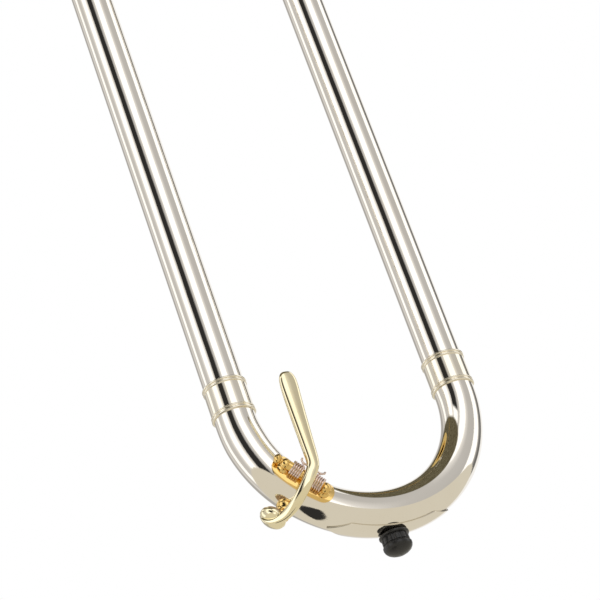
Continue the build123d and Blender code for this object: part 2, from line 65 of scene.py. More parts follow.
# %% [markdown]
# ## Units and places
#
# Blender works in metres, and a brass worker works in millimetres. Pieces are modelled in
# millimetres and brought to metres as they are finished. `span` reads a node's box, and
# `centre_line` gives the line that a turned piece runs along, so no place is typed twice.

# %% Places from the frame
MM = 0.001


def span(node):
    """A node's lowest and highest corner, in millimetres."""
    low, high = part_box(node)
    return Vector(low) / MM, Vector(high) / MM


def centre_line(node):
    """The y and z of a turned node's own axis, in millimetres."""
    low, high = span(node)
    return (low.y + high.y) / 2, (low.z + high.z) / 2


tube_low, tube_high = span("outer_tube_lower")
BELL_Y = centre_line("outer_tube_lower")[0]
MOUTH_Y = centre_line("outer_tube_upper")[0]
TUBE_R = (tube_high.z - tube_low.z) / 2
STRAIGHT_END = 8
BOW_X = round(tube_high.x + STRAIGHT_END)
BOW_RADIUS = (BELL_Y - MOUTH_Y) / 2
BELL_Z = centre_line("bell_stem")[1]
print("slide tubes", MOUTH_Y, BELL_Y, "radius", round(TUBE_R, 3), "bow starts at", BOW_X)

# %% [markdown]
# ## Shader maths as plain expressions
#
# Finishes here are sums of masks: smudges, fine scratches, a darker tone in places. Written as
# nodes and wires such a sum is hard to read. `Wave` wraps one socket, so `a * 0.5 + b` builds the
# Math nodes by itself. `Finish.node` makes any other node.

# %% A socket with operators
class Wave:
    """One node output that can be added to and multiplied."""

    def __init__(self, finish, socket):
        self.finish, self.socket = finish, socket

    def maths(self, operation, other):
        return self.finish.node("ShaderNodeMath", {"operation": operation}, {0: self, 1: other})

    def __add__(self, other):
        return self.maths("ADD", other)

    def __mul__(self, other):
        return self.maths("MULTIPLY", other)


# %% [markdown]
# ### One class for materials and the world
#
# `Finish` owns one node tree, and its methods add the nodes that every finish here needs.

# %% A material under construction
class Finish:
    """A material or a world whose nodes are made one call at a time."""

    def __init__(self, name, owner=None):
        self.owner = owner or bpy.data.materials.new(name)
        self.owner.use_nodes = True
        self.tree = self.owner.node_tree
        self.tree.nodes.clear()

    def node(self, kind, settings, inputs, output=0):
        """Makes a node, sets it up, feeds its sockets and returns one of its outputs."""
        made = self.tree.nodes.new(kind)
        for key, value in settings.items():
            if key == "stops":
                fill_ramp(made.color_ramp, value)
            else:
                setattr(made, key, value)
        for key, value in inputs.items():
            if isinstance(value, Wave):
                self.tree.links.new(value.socket, made.inputs[key])
            else:
                made.inputs[key].default_value = value
        return Wave(self, made.outputs[output]) if len(made.outputs) else made

    def noise(self, place, scale, detail=3.0, roughness=0.5):
        inputs = {"Vector": place, "Scale": scale, "Detail": detail, "Roughness": roughness}
        return self.node("ShaderNodeTexNoise", {}, inputs)

    def ramp(self, value, stops):
        return self.node("ShaderNodeValToRGB", {"stops": stops}, {"Fac": value})

    def blend(self, factor, first, second):
        """Mixes two colours, each a tuple or a Wave."""
        inputs = {0: factor, 6: as_colour(first), 7: as_colour(second)}
        return self.node("ShaderNodeMix", {"data_type": "RGBA"}, inputs, output=2)

    def object_place(self):
        """The object's own coordinates, in metres."""
        return self.node("ShaderNodeTexCoord", {}, {}, output=3)

    def share_along(self, direction, axis):
        """How far a direction points along an axis, from -1 to 1."""
        settings = {"operation": "DOT_PRODUCT"}
        return self.node("ShaderNodeVectorMath", settings, {0: direction, 1: axis}, output=1)

    def surface(self, inputs):
        """Ends a material in one principled shader and returns the material."""
        shader = self.node("ShaderNodeBsdfPrincipled", {}, inputs)
        self.node("ShaderNodeOutputMaterial", {}, {"Surface": shader})
        return self.owner


def as_colour(value):
    return value if isinstance(value, Wave) else (*value[:3], 1.0)


def fill_ramp(ramp, stops):
    """Puts (position, grey or colour) stops into a new colour ramp."""
    while len(ramp.elements) < len(stops):
        ramp.elements.new(0.5)
    for element, (position, tone) in zip(ramp.elements, stops):
        element.position = position
        element.color = (*tone, 1.0) if isinstance(tone, tuple) else (tone, tone, tone, 1.0)


# %% [markdown]
# ## Polished and lacquered metal
#
# A bright instrument is almost a mirror, and what tells it from a computer mirror is small: a
# film of handling that dulls some patches, hair-fine wipe marks that follow the tube, and a very
# low swell left by the buffing wheel, which bends each reflection a little. All three read the
# object's own coordinates, in metres, so a scale of 40 means patches about 25 mm across.

# %% One recipe for every bright metal
def bright_metal(name, light, deep, rough=0.05, swell=0.02, wipe=0.12, grain=(8.0, 300.0, 300.0)):
    """A polished metal: two close tones, patches of film, wipe marks and a low swell."""
    finish = Finish(name)
    place = finish.object_place()
    stretched = finish.node("ShaderNodeMapping", {}, {"Vector": place, "Scale": grain})
    film = finish.ramp(finish.noise(place, 38.0, 4.0, 0.6), [(0.38, 0.0), (0.72, 1.0)])
    marks = finish.ramp(finish.noise(stretched, 9.0, 5.0, 0.7), [(0.45, 0.0), (0.8, 1.0)])
    spots = finish.ramp(finish.noise(place, 900.0, 2.0, 0.5), [(0.66, 0.0), (0.78, 1.0)])
    colour = finish.blend(film * 0.6 + spots * 0.25, light, deep)
    roughness = film * 0.03 + marks * wipe * 0.2 + spots * 0.04 + rough
    bump = finish.noise(place, 26.0, 2.0, 0.4) * swell + marks * 0.004
    normal = finish.node("ShaderNodeBump", {}, {"Strength": 0.35, "Distance": 0.002, "Height": bump})
    inputs = {"Base Color": colour, "Metallic": 1.0, "Roughness": roughness, "Normal": normal}
    return finish.surface(inputs)


nickel_silver = bright_metal("nickel_silver", (0.90, 0.865, 0.80), (0.86, 0.81, 0.72),
                             rough=0.015, wipe=0.08)
warm_nickel = bright_metal("warm_nickel", (0.92, 0.875, 0.77), (0.88, 0.81, 0.66),
                           rough=0.02, wipe=0.08)
bare_chrome = bright_metal("bare_chrome", (0.83, 0.84, 0.85), (0.72, 0.73, 0.75), rough=0.02)
yellow_brass = bright_metal("yellow_brass", (0.90, 0.70, 0.32), (0.80, 0.57, 0.22), rough=0.03)
gold_brass = bright_metal("gold_brass", (0.90, 0.64, 0.24), (0.70, 0.42, 0.12), rough=0.06, swell=0.05)
pale_gold = bright_metal("pale_gold", (0.93, 0.85, 0.60), (0.84, 0.71, 0.42), rough=0.05, swell=0.05)
silver_plate = bright_metal("silver_plate", (0.93, 0.92, 0.89), (0.84, 0.82, 0.77), rough=0.03)
spring_bronze = bright_metal("spring_bronze", (0.86, 0.72, 0.66), (0.60, 0.42, 0.36), rough=0.12)
print("metals made")

# %% [markdown]
# ## Cork and rubber
#
# Cork is a tan foam with darker pores of one or two tenths of a millimetre. Moulded rubber is
# nearly black, dull, and has a fine even grain with a little grey bloom on it.

# %% Cork and rubber
def natural_cork():
    finish = Finish("natural_cork")
    place = finish.object_place()
    cells = finish.node("ShaderNodeTexVoronoi", {}, {"Vector": place, "Scale": 1300.0})
    pores = finish.ramp(finish.noise(place, 700.0, 4.0, 0.7), [(0.55, 0.0), (0.68, 1.0)])
    tans = [(0.3, (0.55, 0.36, 0.19)), (0.7, (0.74, 0.54, 0.32))]
    tone = finish.ramp(finish.noise(place, 160.0, 3.0, 0.6), tans)
    colour = finish.blend(pores * 0.8, tone, (0.20, 0.11, 0.05))
    relief = {"Strength": 0.5, "Distance": 0.0002, "Height": pores + cells * 0.4}
    normal = finish.node("ShaderNodeBump", {"invert": True}, relief)
    inputs = {"Base Color": colour, "Roughness": pores * 0.1 + 0.78, "Normal": normal}
    return finish.surface(inputs)


def black_rubber():
    finish = Finish("black_rubber")
    place = finish.object_place()
    grain = finish.noise(place, 2600.0, 3.0, 0.6)
    bloom = finish.ramp(finish.noise(place, 220.0, 4.0, 0.6), [(0.45, 0.0), (0.8, 1.0)])
    colour = finish.blend(bloom * 0.5, (0.010, 0.010, 0.011), (0.040, 0.039, 0.037))
    normal = finish.node("ShaderNodeBump", {}, {"Strength": 0.25, "Distance": 0.0001, "Height": grain})
    inputs = {"Base Color": colour, "Roughness": bloom * 0.15 + 0.3, "Normal": normal}
    return finish.surface(inputs)


cork, rubber = natural_cork(), black_rubber()
print("cork and rubber made")

# %% [markdown]
# ## Turned pieces
#
# Nearly every piece of a trombone is turned or drawn: a profile swept once round a straight
# line. A few points are joined into a closed outline and `spin` carries it round in one full
# turn, with `use_merge` closing the seam. Sharp rings get a small bevel, because a real edge
# always catches a line of light. A weighted-normal modifier keeps long plain stretches true
# beside fine beads. `half_turn` sweeps a ring round a bend, and `flute` cuts ribs and knurls.

# %% Finishing and turning helpers
BODIES = frame["record"]["behaviour"]["bodies"]
BODY_OF = {node: body for body, nodes in BODIES.items() for node in nodes}


def place_at(y, z=0.0):
    return Matrix.Translation((0, y, z))


def move(bm, matrix):
    bmesh.ops.transform(bm, matrix=matrix, verts=bm.verts)
    return bm


def verts_of(made):
    """The vertices among the geometry that an operator returns."""
    return [g for g in made if isinstance(g, bmesh.types.BMVert)]


def finish_piece(name, bm, material, *nodes, smooth=40.0, slot=None, body=None, rigid=True):
    """Brings a millimetre bmesh to metres, makes it an object and ties it to the frame."""
    bmesh.ops.remove_doubles(bm, verts=bm.verts, dist=0.0005)
    bmesh.ops.recalc_face_normals(bm, faces=bm.faces)
    bmesh.ops.scale(bm, vec=(MM, MM, MM), verts=bm.verts)
    mesh = bpy.data.meshes.new(name)
    bm.to_mesh(mesh)
    bm.free()
    mesh.shade_smooth()
    mesh.set_sharp_from_angle(angle=math.radians(smooth))
    mesh.materials.append(material)
    piece = bpy.data.objects.new(name, mesh)
    bpy.context.collection.objects.link(piece)
    if rigid:
        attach(piece, body or BODY_OF[nodes[0]])
    if nodes:
        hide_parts(*nodes)
    if smooth < 180:
        even = piece.modifiers.new("even_normals", "WEIGHTED_NORMAL")
        even.weight, even.keep_sharp = 80, True
    return piece


def turned(profile, steps=96):
    """A bmesh turned about the X axis from a closed outline of (x, radius) points."""
    bm = bmesh.new()
    corners = [bm.verts.new((x, 0, r)) for x, r in profile]
    ring = [bm.edges.new((a, b)) for a, b in zip(corners, corners[1:] + corners[:1])]
    bmesh.ops.spin(bm, geom=corners + ring, cent=(0, 0, 0), axis=(1, 0, 0), angle=2 * math.pi,
                   steps=steps, use_merge=True)
    bmesh.ops.remove_doubles(bm, verts=bm.verts, dist=0.0005)
    bmesh.ops.recalc_face_normals(bm, faces=bm.faces)
    return bm


def soften(bm, width=0.15, sharper_than=35.0, segments=2):
    """Bevels every edge that turns more than an angle."""
    limit = math.radians(sharper_than)
    edges = [e for e in bm.edges if len(e.link_faces) == 2 and e.calc_face_angle(0) > limit]
    bmesh.ops.bevel(bm, geom=edges, offset=width, segments=segments, affect="EDGES", profile=0.5,
                    material=-1, clamp_overlap=True)
    return bm


def half_turn(start, centre, axis, steps):
    """A ring of radius 1 that faces along X, swept half a turn round an axis."""
    bm = bmesh.new()
    stand = Matrix.Translation(start) @ Matrix.Rotation(math.pi / 2, 4, "Y")
    ring = bmesh.ops.create_circle(bm, segments=96, radius=1.0, matrix=stand)["verts"]
    bmesh.ops.spin(bm, geom=ring + bm.edges[:], cent=centre, axis=axis, angle=math.pi, steps=steps)
    return bm


def give_wall(bm, thickness=0.5):
    """Turns a swept surface into sheet of one thickness."""
    bmesh.ops.recalc_face_normals(bm, faces=bm.faces)
    bmesh.ops.solidify(bm, geom=bm.faces[:], thickness=thickness)
    return bm


def flute(bm, count, depth, sharpness, is_fluted):
    """Cuts even grooves along X into the points for which is_fluted(x, radius) is true."""
    for vert in bm.verts:
        reach = math.hypot(vert.co.y, vert.co.z)
        if is_fluted(vert.co.x, reach):
            groove = 0.5 + 0.5 * math.cos(count * math.atan2(vert.co.z, vert.co.y))
            scale = (reach - depth * groove ** sharpness) / reach
            vert.co.y, vert.co.z = vert.co.y * scale, vert.co.z * scale


def bead(x, tube_r, size, steps=8):
    """Profile points of a half-round raised ring, front to back."""
    return [(x + size * math.cos(math.pi * k / steps), tube_r + size * math.sin(math.pi * k / steps))
            for k in range(steps + 1)]


def turn_piece(node, profile, material, width=0.15, steps=96):
    """Turns a profile on a node's own centre line. Its x counts from the node's back end."""
    back = span(node)[0].x
    bm = soften(turned([(back + x, r) for x, r in profile], steps), width)
    move(bm, place_at(*centre_line(node)))
    piece = finish_piece(node + "_turned", bm, material, node)
    print(piece.name, len(piece.data.polygons), "faces")
    return piece


def length_of(node):
    low, high = span(node)
    return high.x - low.x


def plain_tube(long, bore, radius):
    """The profile of a tube without beads."""
    return [(0, bore), (long, bore), (long, radius), (0, radius)]


# %% [markdown]
# ## The outer slide tubes
#
# Two drawn tubes carry the whole slide. They are plain, so all their looks are in the mirror
# finish, and in a wall thin enough to see at the open end. 128 sides keep the outline round from
# close up. Each open end has a beaded ring, and a sleeve ahead of it for the right hand. `SEAT_R`
# is the bore of whatever is soldered on a tube, a hair wider than the tube itself.

# %% Outer tubes, end rings and grip sleeves
TUBE_BORE = 7.36
SEAT_R = TUBE_R + 0.03
RING_R, SLEEVE_R = 7.9, 8.22
for side in ("upper", "lower"):
    walls = plain_tube(length_of("outer_tube_" + side), TUBE_BORE, TUBE_R)
    turn_piece("outer_tube_" + side, walls, nickel_silver, width=0.06, steps=128)
    end_ring = [(0, SEAT_R), (3, SEAT_R), (3, RING_R)] + bead(1.7, RING_R, 0.4) + [(0, 8.3)]
    turn_piece("tube_end_ring_" + side, end_ring, nickel_silver, width=0.05)
    sleeve = [(0, SEAT_R), (100, SEAT_R), (100, 8.15)]
    sleeve += bead(98.8, 8.3, 0.6) + bead(96.4, SLEEVE_R, 0.35) + [(95.6, SLEEVE_R)]
    sleeve += bead(9.6, SLEEVE_R, 0.35) + bead(7.5, 8.3, 0.6)
    sleeve += [(6.2, 8.3), (5.5, 8.9), (0.4, 8.9), (0, 8.6)]
    turn_piece("grip_sleeve_" + side, sleeve, nickel_silver, width=0.08)

# %% [markdown]
# ## The ferrules that join tubes and bow
#
# A ferrule is a short sleeve with a pair of fine beads rolled into each end. The beads are
# thinner than half a millimetre, yet they draw the eye, because each one carries a whole small
# reflection of the room.

# %% Bow ferrules
for side in ("upper", "lower"):
    ferrule = [(0, SEAT_R), (13.4, SEAT_R), (13.4, 7.98)] + bead(12.95, 8.0, 0.42)
    ferrule += [(12.4, 7.88), (12.2, 7.88)] + bead(11.8, 8.0, 0.34) + [(11.35, 7.9), (11.15, 8.02)]
    ferrule += [(2.25, 8.02), (2.05, 7.9)] + bead(1.6, 8.0, 0.34) + [(1.2, 7.88), (1.0, 7.88)]
    ferrule += bead(0.45, 8.0, 0.42) + [(0, 7.98)]
    turn_piece("bow_ferrule_" + side, ferrule, warm_nickel, width=0.05, steps=128)

# %% [markdown]
# ## The bow
#
# The bow is one tube bent through half a turn, and the bending leaves it a little fatter at the
# crown than at its ends. A circle is spun half way round the bow's centre, and each ring is then
# swelled about its own centre by a smooth rule of its angle. `SWELL` holds the tube's outside
# radius at a few angles, counted from the bell side.

# %% Points on the bow
SWELL = [(0, 7.64), (14, 7.90), (45, 8.05), (90, 8.20), (135, 7.95), (166, 7.70), (180, 7.64)]


def bow_radius(angle):
    """The tube's outside radius at an angle from the bell side, eased between the stations."""
    for (a0, r0), (a1, r1) in zip(SWELL, SWELL[1:]):
        if angle <= a1:
            t = (angle - a0) / (a1 - a0)
            return r0 + (r1 - r0) * t * t * (3 - 2 * t)
    return SWELL[-1][1]


def bow_point(angle, out=0.0, drop=0.0):
    """A point at an angle round the bow, some way outward and downward from its centre line."""
    a = math.radians(angle)
    reach = BOW_RADIUS + out
    return Vector((BOW_X + reach * math.sin(a), reach * math.cos(a), -drop))


def bow_angle(co):
    return abs(math.degrees(math.atan2(co.x - BOW_X, co.y)))


# %% [markdown]
# ### Sweep, swell and straight ends
#
# After the sweep, each open end is drawn straight back into its ferrule. The wall comes last,
# from `solidify`.

# %% Bow
bow = half_turn(bow_point(0), (BOW_X, 0, 0), (0, 0, -1), 120)
for vert in bow.verts:
    angle = bow_angle(vert.co)
    middle = bow_point(angle)
    vert.co = middle + (vert.co - middle) * bow_radius(angle)
for first in (True, False):
    rim = [e for e in bow.edges if e.is_boundary and (e.verts[0].co.y > 0) == first]
    tail = bmesh.ops.extrude_edge_only(bow, edges=rim)["geom"]
    bmesh.ops.translate(bow, vec=(-STRAIGHT_END, 0, 0), verts=verts_of(tail))
bow_piece = finish_piece("slide_bow_bent", give_wall(bow), nickel_silver, "slide_bow", smooth=50)
print("bow", len(bow_piece.data.polygons), "faces")

# %% [markdown]
# ## Plates that hug the bow
#
# The wear plate and the water key's saddle are flat sheet bent over the bow. Each is made flat,
# as a grid whose sides are drawn in by an outline rule, given its thickness and a rounded edge,
# and only then wrapped: distance along the plate becomes an angle round the bow, and distance
# across it an angle round the tube. `PLATE_LINE_R` is where lengths along the bow are measured, 8 mm
# out from the tube's middle.

# %% A flat plate wrapped on the bow
PLATE_LINE_R = 8


def wrapped_plate(long, wide, thick, outline, centre_angle, turn, lift, edge, cuts=(64, 20)):
    """A plate of half sizes long and wide. turn is the angle round the tube, 0 outward, 90 down."""
    bm = bmesh.new()
    bmesh.ops.create_grid(bm, x_segments=cuts[0], y_segments=cuts[1], size=1.0)
    for vert in bm.verts:
        along = vert.co.x * (1.5 - 0.5 * vert.co.x * vert.co.x)
        vert.co = Vector((along * long, vert.co.y * wide * outline(abs(along)), 0))
    bmesh.ops.remove_doubles(bm, verts=bm.verts, dist=0.01)
    raised = bmesh.ops.extrude_face_region(bm, geom=bm.faces[:])["geom"]
    bmesh.ops.translate(bm, vec=(0, 0, thick), verts=verts_of(raised))
    bmesh.ops.recalc_face_normals(bm, faces=bm.faces)
    soften(bm, edge, 50.0, 3)
    bend_radius = BOW_RADIUS + PLATE_LINE_R * math.cos(math.radians(turn))
    for vert in bm.verts:
        angle = centre_angle + math.degrees(vert.co.x / bend_radius)
        radius = bow_radius(angle) + lift + vert.co.z
        around = math.radians(turn) + vert.co.y / (bow_radius(angle) + lift)
        vert.co = bow_point(angle, radius * math.cos(around), radius * math.sin(around))
    return bm


def pointed(along):
    """A plate of full width with a short point at each end."""
    return min(1.0, 0.02 + (1 - along) / 0.33)


def round_ended(along):
    """A plate of full width with a half-round at each end."""
    start = 0.70
    return 1.0 if along < start else math.sqrt(max(0.0004, 1 - ((along - start) / (1 - start)) ** 2))


guard = wrapped_plate(long=25.4, wide=4.75, thick=0.52, outline=pointed, centre_angle=90, turn=0,
                      lift=0.06, edge=0.12)
finish_piece("bow_guard_plate", guard, nickel_silver, "bow_guard", smooth=35)
print("wear plate made")

# %% [markdown]
# ## The rubber bumper
#
# The bumper takes the knock when the slide is stood on the floor. It is one moulded rubber plug
# on a brass stud: a thin flange, a waist with upright ribs, a groove, and a domed nose.

# %% Bumper and stud
CROWN = span("bumper")[0].x
hole = [(0, 2.5), (4.5, 2.5), (4.5, 0.001)]
nose = [(8.25, 0.001), (8.15, 1.3), (7.85, 2.6), (7.35, 3.7), (6.7, 4.6), (5.9, 5.2), (5.1, 5.46),
        (4.4, 5.46), (4.2, 5.3)]
groove_and_waist = [(4.1, 4.7), (3.7, 4.7), (3.6, 5.15), (1.5, 5.1), (1.2, 4.6), (1.0, 4.6)]
flange = [(0.9, 5.5), (0.6, 5.65), (0.2, 5.65), (0, 5.5)]
bumper = turned(hole + nose + groove_and_waist + flange, steps=120)
flute(bumper, 12, 0.4, 4, lambda x, reach: 1.3 < x < 3.75 and reach > 5.0)
soften(bumper, 0.1, 40)
bmesh.ops.translate(bumper, vec=(CROWN, 0, 0), verts=bumper.verts)
finish_piece("bumper_moulded", bumper, rubber, "bumper", smooth=45)
turn_piece("bumper_stud", [(0, 0.001), (4.4, 0.001), (4.4, 2.2), (4.1, 2.4), (0, 2.4)], gold_brass)

# %% [markdown]
# ## The water key
#
# The water key lets condensed water out of the bow. Its frame of directions is its own: `along`
# the bow at its seat, `outward` from the bow's centre, and `down`, away from the instrument.
# `key_at` turns those three distances into a place, and `key_matrix` stands a turned piece there.

# %% Directions of the water key
HINGE = next(j for j in frame["joints"] if j["name"] == "water_key_hinge")
PIVOT = Vector(HINGE["pos_m"]) / MM
KEY_ALONG = -Vector(HINGE["axis"]).normalized()
KEY_DOWN = Vector((0, 0, -1))
KEY_OUT = KEY_ALONG.cross(KEY_DOWN).normalized()
if KEY_OUT.x < 0:
    KEY_OUT = -KEY_OUT
DROP = -PIVOT.z


def key_at(along, outward, down):
    """A place by its distances from the bow's centre line below the hinge."""
    return Vector((PIVOT.x, PIVOT.y, 0)) + KEY_ALONG * along + KEY_OUT * outward + KEY_DOWN * down


def key_matrix(heading, along, outward, down):
    """Stands a piece turned about X at a place of the key, with its X along a heading."""
    side = KEY_DOWN if abs(heading.dot(KEY_DOWN)) < 0.9 else KEY_ALONG
    third = heading.cross(side).normalized()
    side = third.cross(heading).normalized()
    turn = Matrix((heading, side, third)).transposed().to_4x4()
    return Matrix.Translation(key_at(along, outward, down)) @ turn


def join(bm, other, matrix):
    """Puts one bmesh into another, moved by a matrix."""
    move(other, matrix)
    scratch = bpy.data.meshes.new("scratch")
    other.to_mesh(scratch)
    other.free()
    bm.from_mesh(scratch)
    bpy.data.meshes.remove(scratch)


print("hinge at", [round(c, 2) for c in PIVOT], "along", [round(c, 3) for c in KEY_ALONG])

# %% [markdown]
# ### Saddle, posts and nipple
#
# The saddle is a thick plate with round ends, soldered to the bow. Two round posts stand on it
# and hold the hinge screw between them, and the nipple beside it is a short tube on a round base.
# The posts are turned like beads, so they catch a small highlight each.

# %% Saddle, posts, screw and nipple
POSTS_ALONG, POST_FOOT = (-8.1, 8.5), 8.7
SCREW_START = -13.0
NIPPLE_OUT, SEAT_DROP = 7.3, 0.6
saddle = wrapped_plate(long=12.4, wide=3.95, thick=1.25, outline=round_ended, centre_angle=45,
                       turn=90, lift=0.03, edge=0.4)
post = [(0, 0.001), (0, 2.3), (0.7, 2.3), (1.1, 1.7), (1.6, 1.45), (2.0, 1.55), (2.6, 1.95),
        (3.3, 2.1), (4.0, 1.95), (4.6, 1.5), (5.0, 0.8), (5.1, 0.001)]
for along in POSTS_ALONG:
    join(saddle, turned(post, 48), key_matrix(KEY_DOWN, along, 0, POST_FOOT))
finish_piece("key_saddle_plate", saddle, gold_brass, "key_saddle", smooth=40)

screw_head = [(0, 0.001), (0.15, 0.9), (0.6, 1.5), (1.4, 1.85), (2.2, 1.6), (2.7, 1.1)]
screw_shank = [(2.8, 0.85), (22.4, 0.85), (22.9, 0.4), (22.9, 0.001)]
screw = soften(turned(screw_head + screw_shank, 48), 0.1)
move(screw, key_matrix(KEY_ALONG, SCREW_START, 0, DROP))
finish_piece("key_screw_turned", screw, gold_brass, "key_hinge_screw")

nipple_profile = [(0, 2.0), (5.6, 2.0), (5.6, 2.6), (5.2, 3.0), (4.3, 3.1), (3.7, 2.8),
                  (3.0, 2.8), (2.4, 3.1), (1.9, 3.5), (1.0, 3.65), (0, 3.65)]
nipple = soften(turned(nipple_profile, 72), 0.12)
move(nipple, key_matrix(KEY_OUT, 0, NIPPLE_OUT, SEAT_DROP))
finish_piece("water_nipple_turned", nipple, gold_brass, "water_nipple")
print("saddle, screw and nipple made")

# %% [markdown]
# ### The lever
#
# The lever is a forged strap. From the cup it climbs over the hinge, narrows, and ends in a
# finger touch shaped like a drop. Oval rings are stood along it and joined by `bridge_loops`, and
# a subdivision surface turns the few rings into one flowing shape. The arm's rings are placed by
# the key's own directions, and the touch's by plain x, y and z, because it follows the tube.

# %% A strap through oval rings
def strap(stations, sides=12):
    """A closed bar through flattened rings. Each station is (centre, heading, width, thickness)."""
    bm = bmesh.new()
    rings = []
    for centre, heading, width, thickness in stations:
        side = Vector((0, 0, 1)).cross(heading)
        side = KEY_ALONG if side.length < 0.3 else side.normalized()
        heading = heading.normalized()
        third = heading.cross(side).normalized()
        side = third.cross(heading)
        frame_of = Matrix((side * width / 2, third * thickness / 2, heading)).transposed().to_4x4()
        made = bmesh.ops.create_circle(bm, segments=sides, radius=1.0)["verts"]
        for vert in made:
            vert.co.x = math.copysign(abs(vert.co.x) ** 0.85, vert.co.x)
            vert.co.y = math.copysign(abs(vert.co.y) ** 0.75, vert.co.y)
        bmesh.ops.transform(bm, matrix=Matrix.Translation(centre) @ frame_of, verts=made)
        rings.append([e for e in bm.edges if e.verts[0] in made and e.verts[1] in made])
    for near, far in zip(rings, rings[1:]):
        bmesh.ops.bridge_loops(bm, edges=near + far)
    for ring in (rings[0], rings[-1]):
        bmesh.ops.contextual_create(bm, geom=ring)
    bmesh.ops.recalc_face_normals(bm, faces=bm.faces)
    return bm


def key_stations(rows):
    """Stations from (along, outward, down, heading along/out/down, width, thickness) rows."""
    made = []
    for along, outward, down, (h_along, h_out, h_down), width, thickness in rows:
        heading = KEY_ALONG * h_along + KEY_OUT * h_out + KEY_DOWN * h_down
        made.append((key_at(along, outward, down), heading, width, thickness))
    return made


ARM_ROWS = [(-5.6, 16.1, -0.7, (0.8, 0.3, 0.4), 1.6, 1.0), (-3.6, 16.9, 0.5, (0.8, 0.2, 0.5), 4.2, 2.0),
            (-0.9, 16.7, 3.0, (0.6, 0, 0.9), 4.8, 2.5), (1.5, 15.1, 6.5, (0.3, -0.4, 1), 4.3, 2.8),
            (2.3, 12.2, 10.4, (0.1, -0.9, 0.9), 4.1, 2.8), (2.2, 8.2, 13.8, (0, -1, 0.5), 4.2, 2.9),
            (1.6, 3.6, 15.6, (-0.1, -1, 0.1), 4.4, 3.0), (1.0, -1.0, 16.1, (-0.1, -1, 0.02), 4.6, 3.1)]
TOUCH_ROWS = [((729.6, 29.4, -16.7), 5.0, 3.6), ((724.5, 29.5, -17.1), 5.2, 3.8),
              ((715.0, 29.6, -17.8), 6.0, 3.9), ((706.5, 29.6, -18.4), 6.7, 3.7),
              ((700.5, 29.5, -18.9), 7.2, 3.4), ((696.8, 29.4, -19.2), 7.2, 3.0),
              ((694.2, 29.4, -19.4), 5.7, 2.4), ((693.0, 29.4, -19.5), 3.0, 1.3)]
stations = key_stations(ARM_ROWS)
stations += [(Vector(place), Vector((-1, -0.35 if k == 0 else 0, -0.09)), width, thickness)
             for k, (place, width, thickness) in enumerate(TOUCH_ROWS)]
lever_piece = finish_piece("key_lever_forged", strap(stations), pale_gold, "key_lever", smooth=180)
lever_round = lever_piece.modifiers.new("round", "SUBSURF")
lever_round.levels = lever_round.render_levels = 3
print("lever stations", len(stations))

# %% [markdown]
# ### Cup, hinge tube and cork
#
# These three ride the key with the lever. The cup holds the cork pad against the nipple. The
# hinge tube turns on the screw, and a small block joins it to the lever above.

# %% Cup, hinge tube and cork
CUP_ALONG, CUP_OUT, CORK_OUT = -2.0, 14.1, 12.95
HINGE_TUBE_LONG = 14.2
BLOCK_SIZE, BLOCK_ALONG, BLOCK_DROP = (3.8, 3.2, 3.4), 0.9, 1.7
cup_profile = [(0, 4.15), (1.6, 4.15), (1.6, 0.001), (3.2, 0.001), (3.1, 2.2), (2.7, 3.7),
               (2.0, 4.55), (1.3, 4.7), (1.1, 4.95), (0.2, 4.95), (0, 4.8)]
cup = soften(turned(cup_profile, 72), 0.15)
move(cup, key_matrix(KEY_OUT, CUP_ALONG, CUP_OUT, SEAT_DROP))
finish_piece("key_cup_turned", cup, pale_gold, slot="pale_gold_brass", body="water_key")

hinge_tube = soften(turned(plain_tube(HINGE_TUBE_LONG, 0.95, 1.75), 48), 0.12)
move(hinge_tube, key_matrix(KEY_ALONG, -HINGE_TUBE_LONG / 2, 0, DROP))
block = bmesh.ops.create_cube(hinge_tube, size=1.0)["verts"]
bmesh.ops.scale(hinge_tube, vec=BLOCK_SIZE, verts=block)
block_place = key_matrix(KEY_ALONG, BLOCK_ALONG, 0, DROP + BLOCK_DROP)
bmesh.ops.transform(hinge_tube, matrix=block_place, verts=block)
soften(hinge_tube, 0.3, 60)
finish_piece("key_hinge_tube", hinge_tube, gold_brass, slot="gold_brass", body="water_key")

pad = soften(turned([(0, 0.001), (0, 4.05), (2.6, 4.05), (2.6, 0.001)], 48), 0.2)
move(pad, key_matrix(KEY_OUT, CUP_ALONG, CORK_OUT, SEAT_DROP))
finish_piece("key_cork_pad", pad, cork, "key_cork")
print("cup, hinge tube and cork made")

# %% [markdown]
# ### The spring
#
# One bronze wire makes the spring: a leg, a coil round the hinge, a squarish loop that flares
# wider than the coils, and the same again back. A coil is exactly what `spin` makes when it is
# given a step along its axis, so the wire's end ring is spun, pushed straight, spun a quarter
# turn for each corner of the loop, and so on.

# %% Spring wire
WIRE_R, COIL_R, PITCH, TURNS = 0.37, 2.45, 0.84, 4.5
FIRST_COIL, LAST_COIL, LEG = -5.6, 6.9, 4.8
LOOP_FLARE, CORNER_R, CORNER_OUT = 2.3, 1.5, -4.0
LOOP_ROOT, LOOP_SPREAD, LOOP_SIDE = 1.0, 2.2, 0.8
spring = bmesh.new()
wire_end = bmesh.ops.create_circle(spring, segments=12, radius=WIRE_R)["verts"]
wire_heading = KEY_OUT.to_track_quat("Z", "Y").to_matrix().to_4x4()
move(spring, Matrix.Translation(key_at(FIRST_COIL, -LEG, DROP - COIL_R)) @ wire_heading)
tip = wire_end + spring.edges[:]


def push(direction, distance):
    """Draws the wire's end straight on."""
    global tip
    edges = [g for g in tip if isinstance(g, bmesh.types.BMEdge)]
    tip = bmesh.ops.extrude_edge_only(spring, edges=edges)["geom"]
    tip = [g for g in tip if not isinstance(g, bmesh.types.BMFace)]
    ring = verts_of(tip)
    bmesh.ops.translate(spring, vec=direction * distance, verts=ring)
    tip = ring + [e for e in spring.edges if e.verts[0] in ring and e.verts[1] in ring]


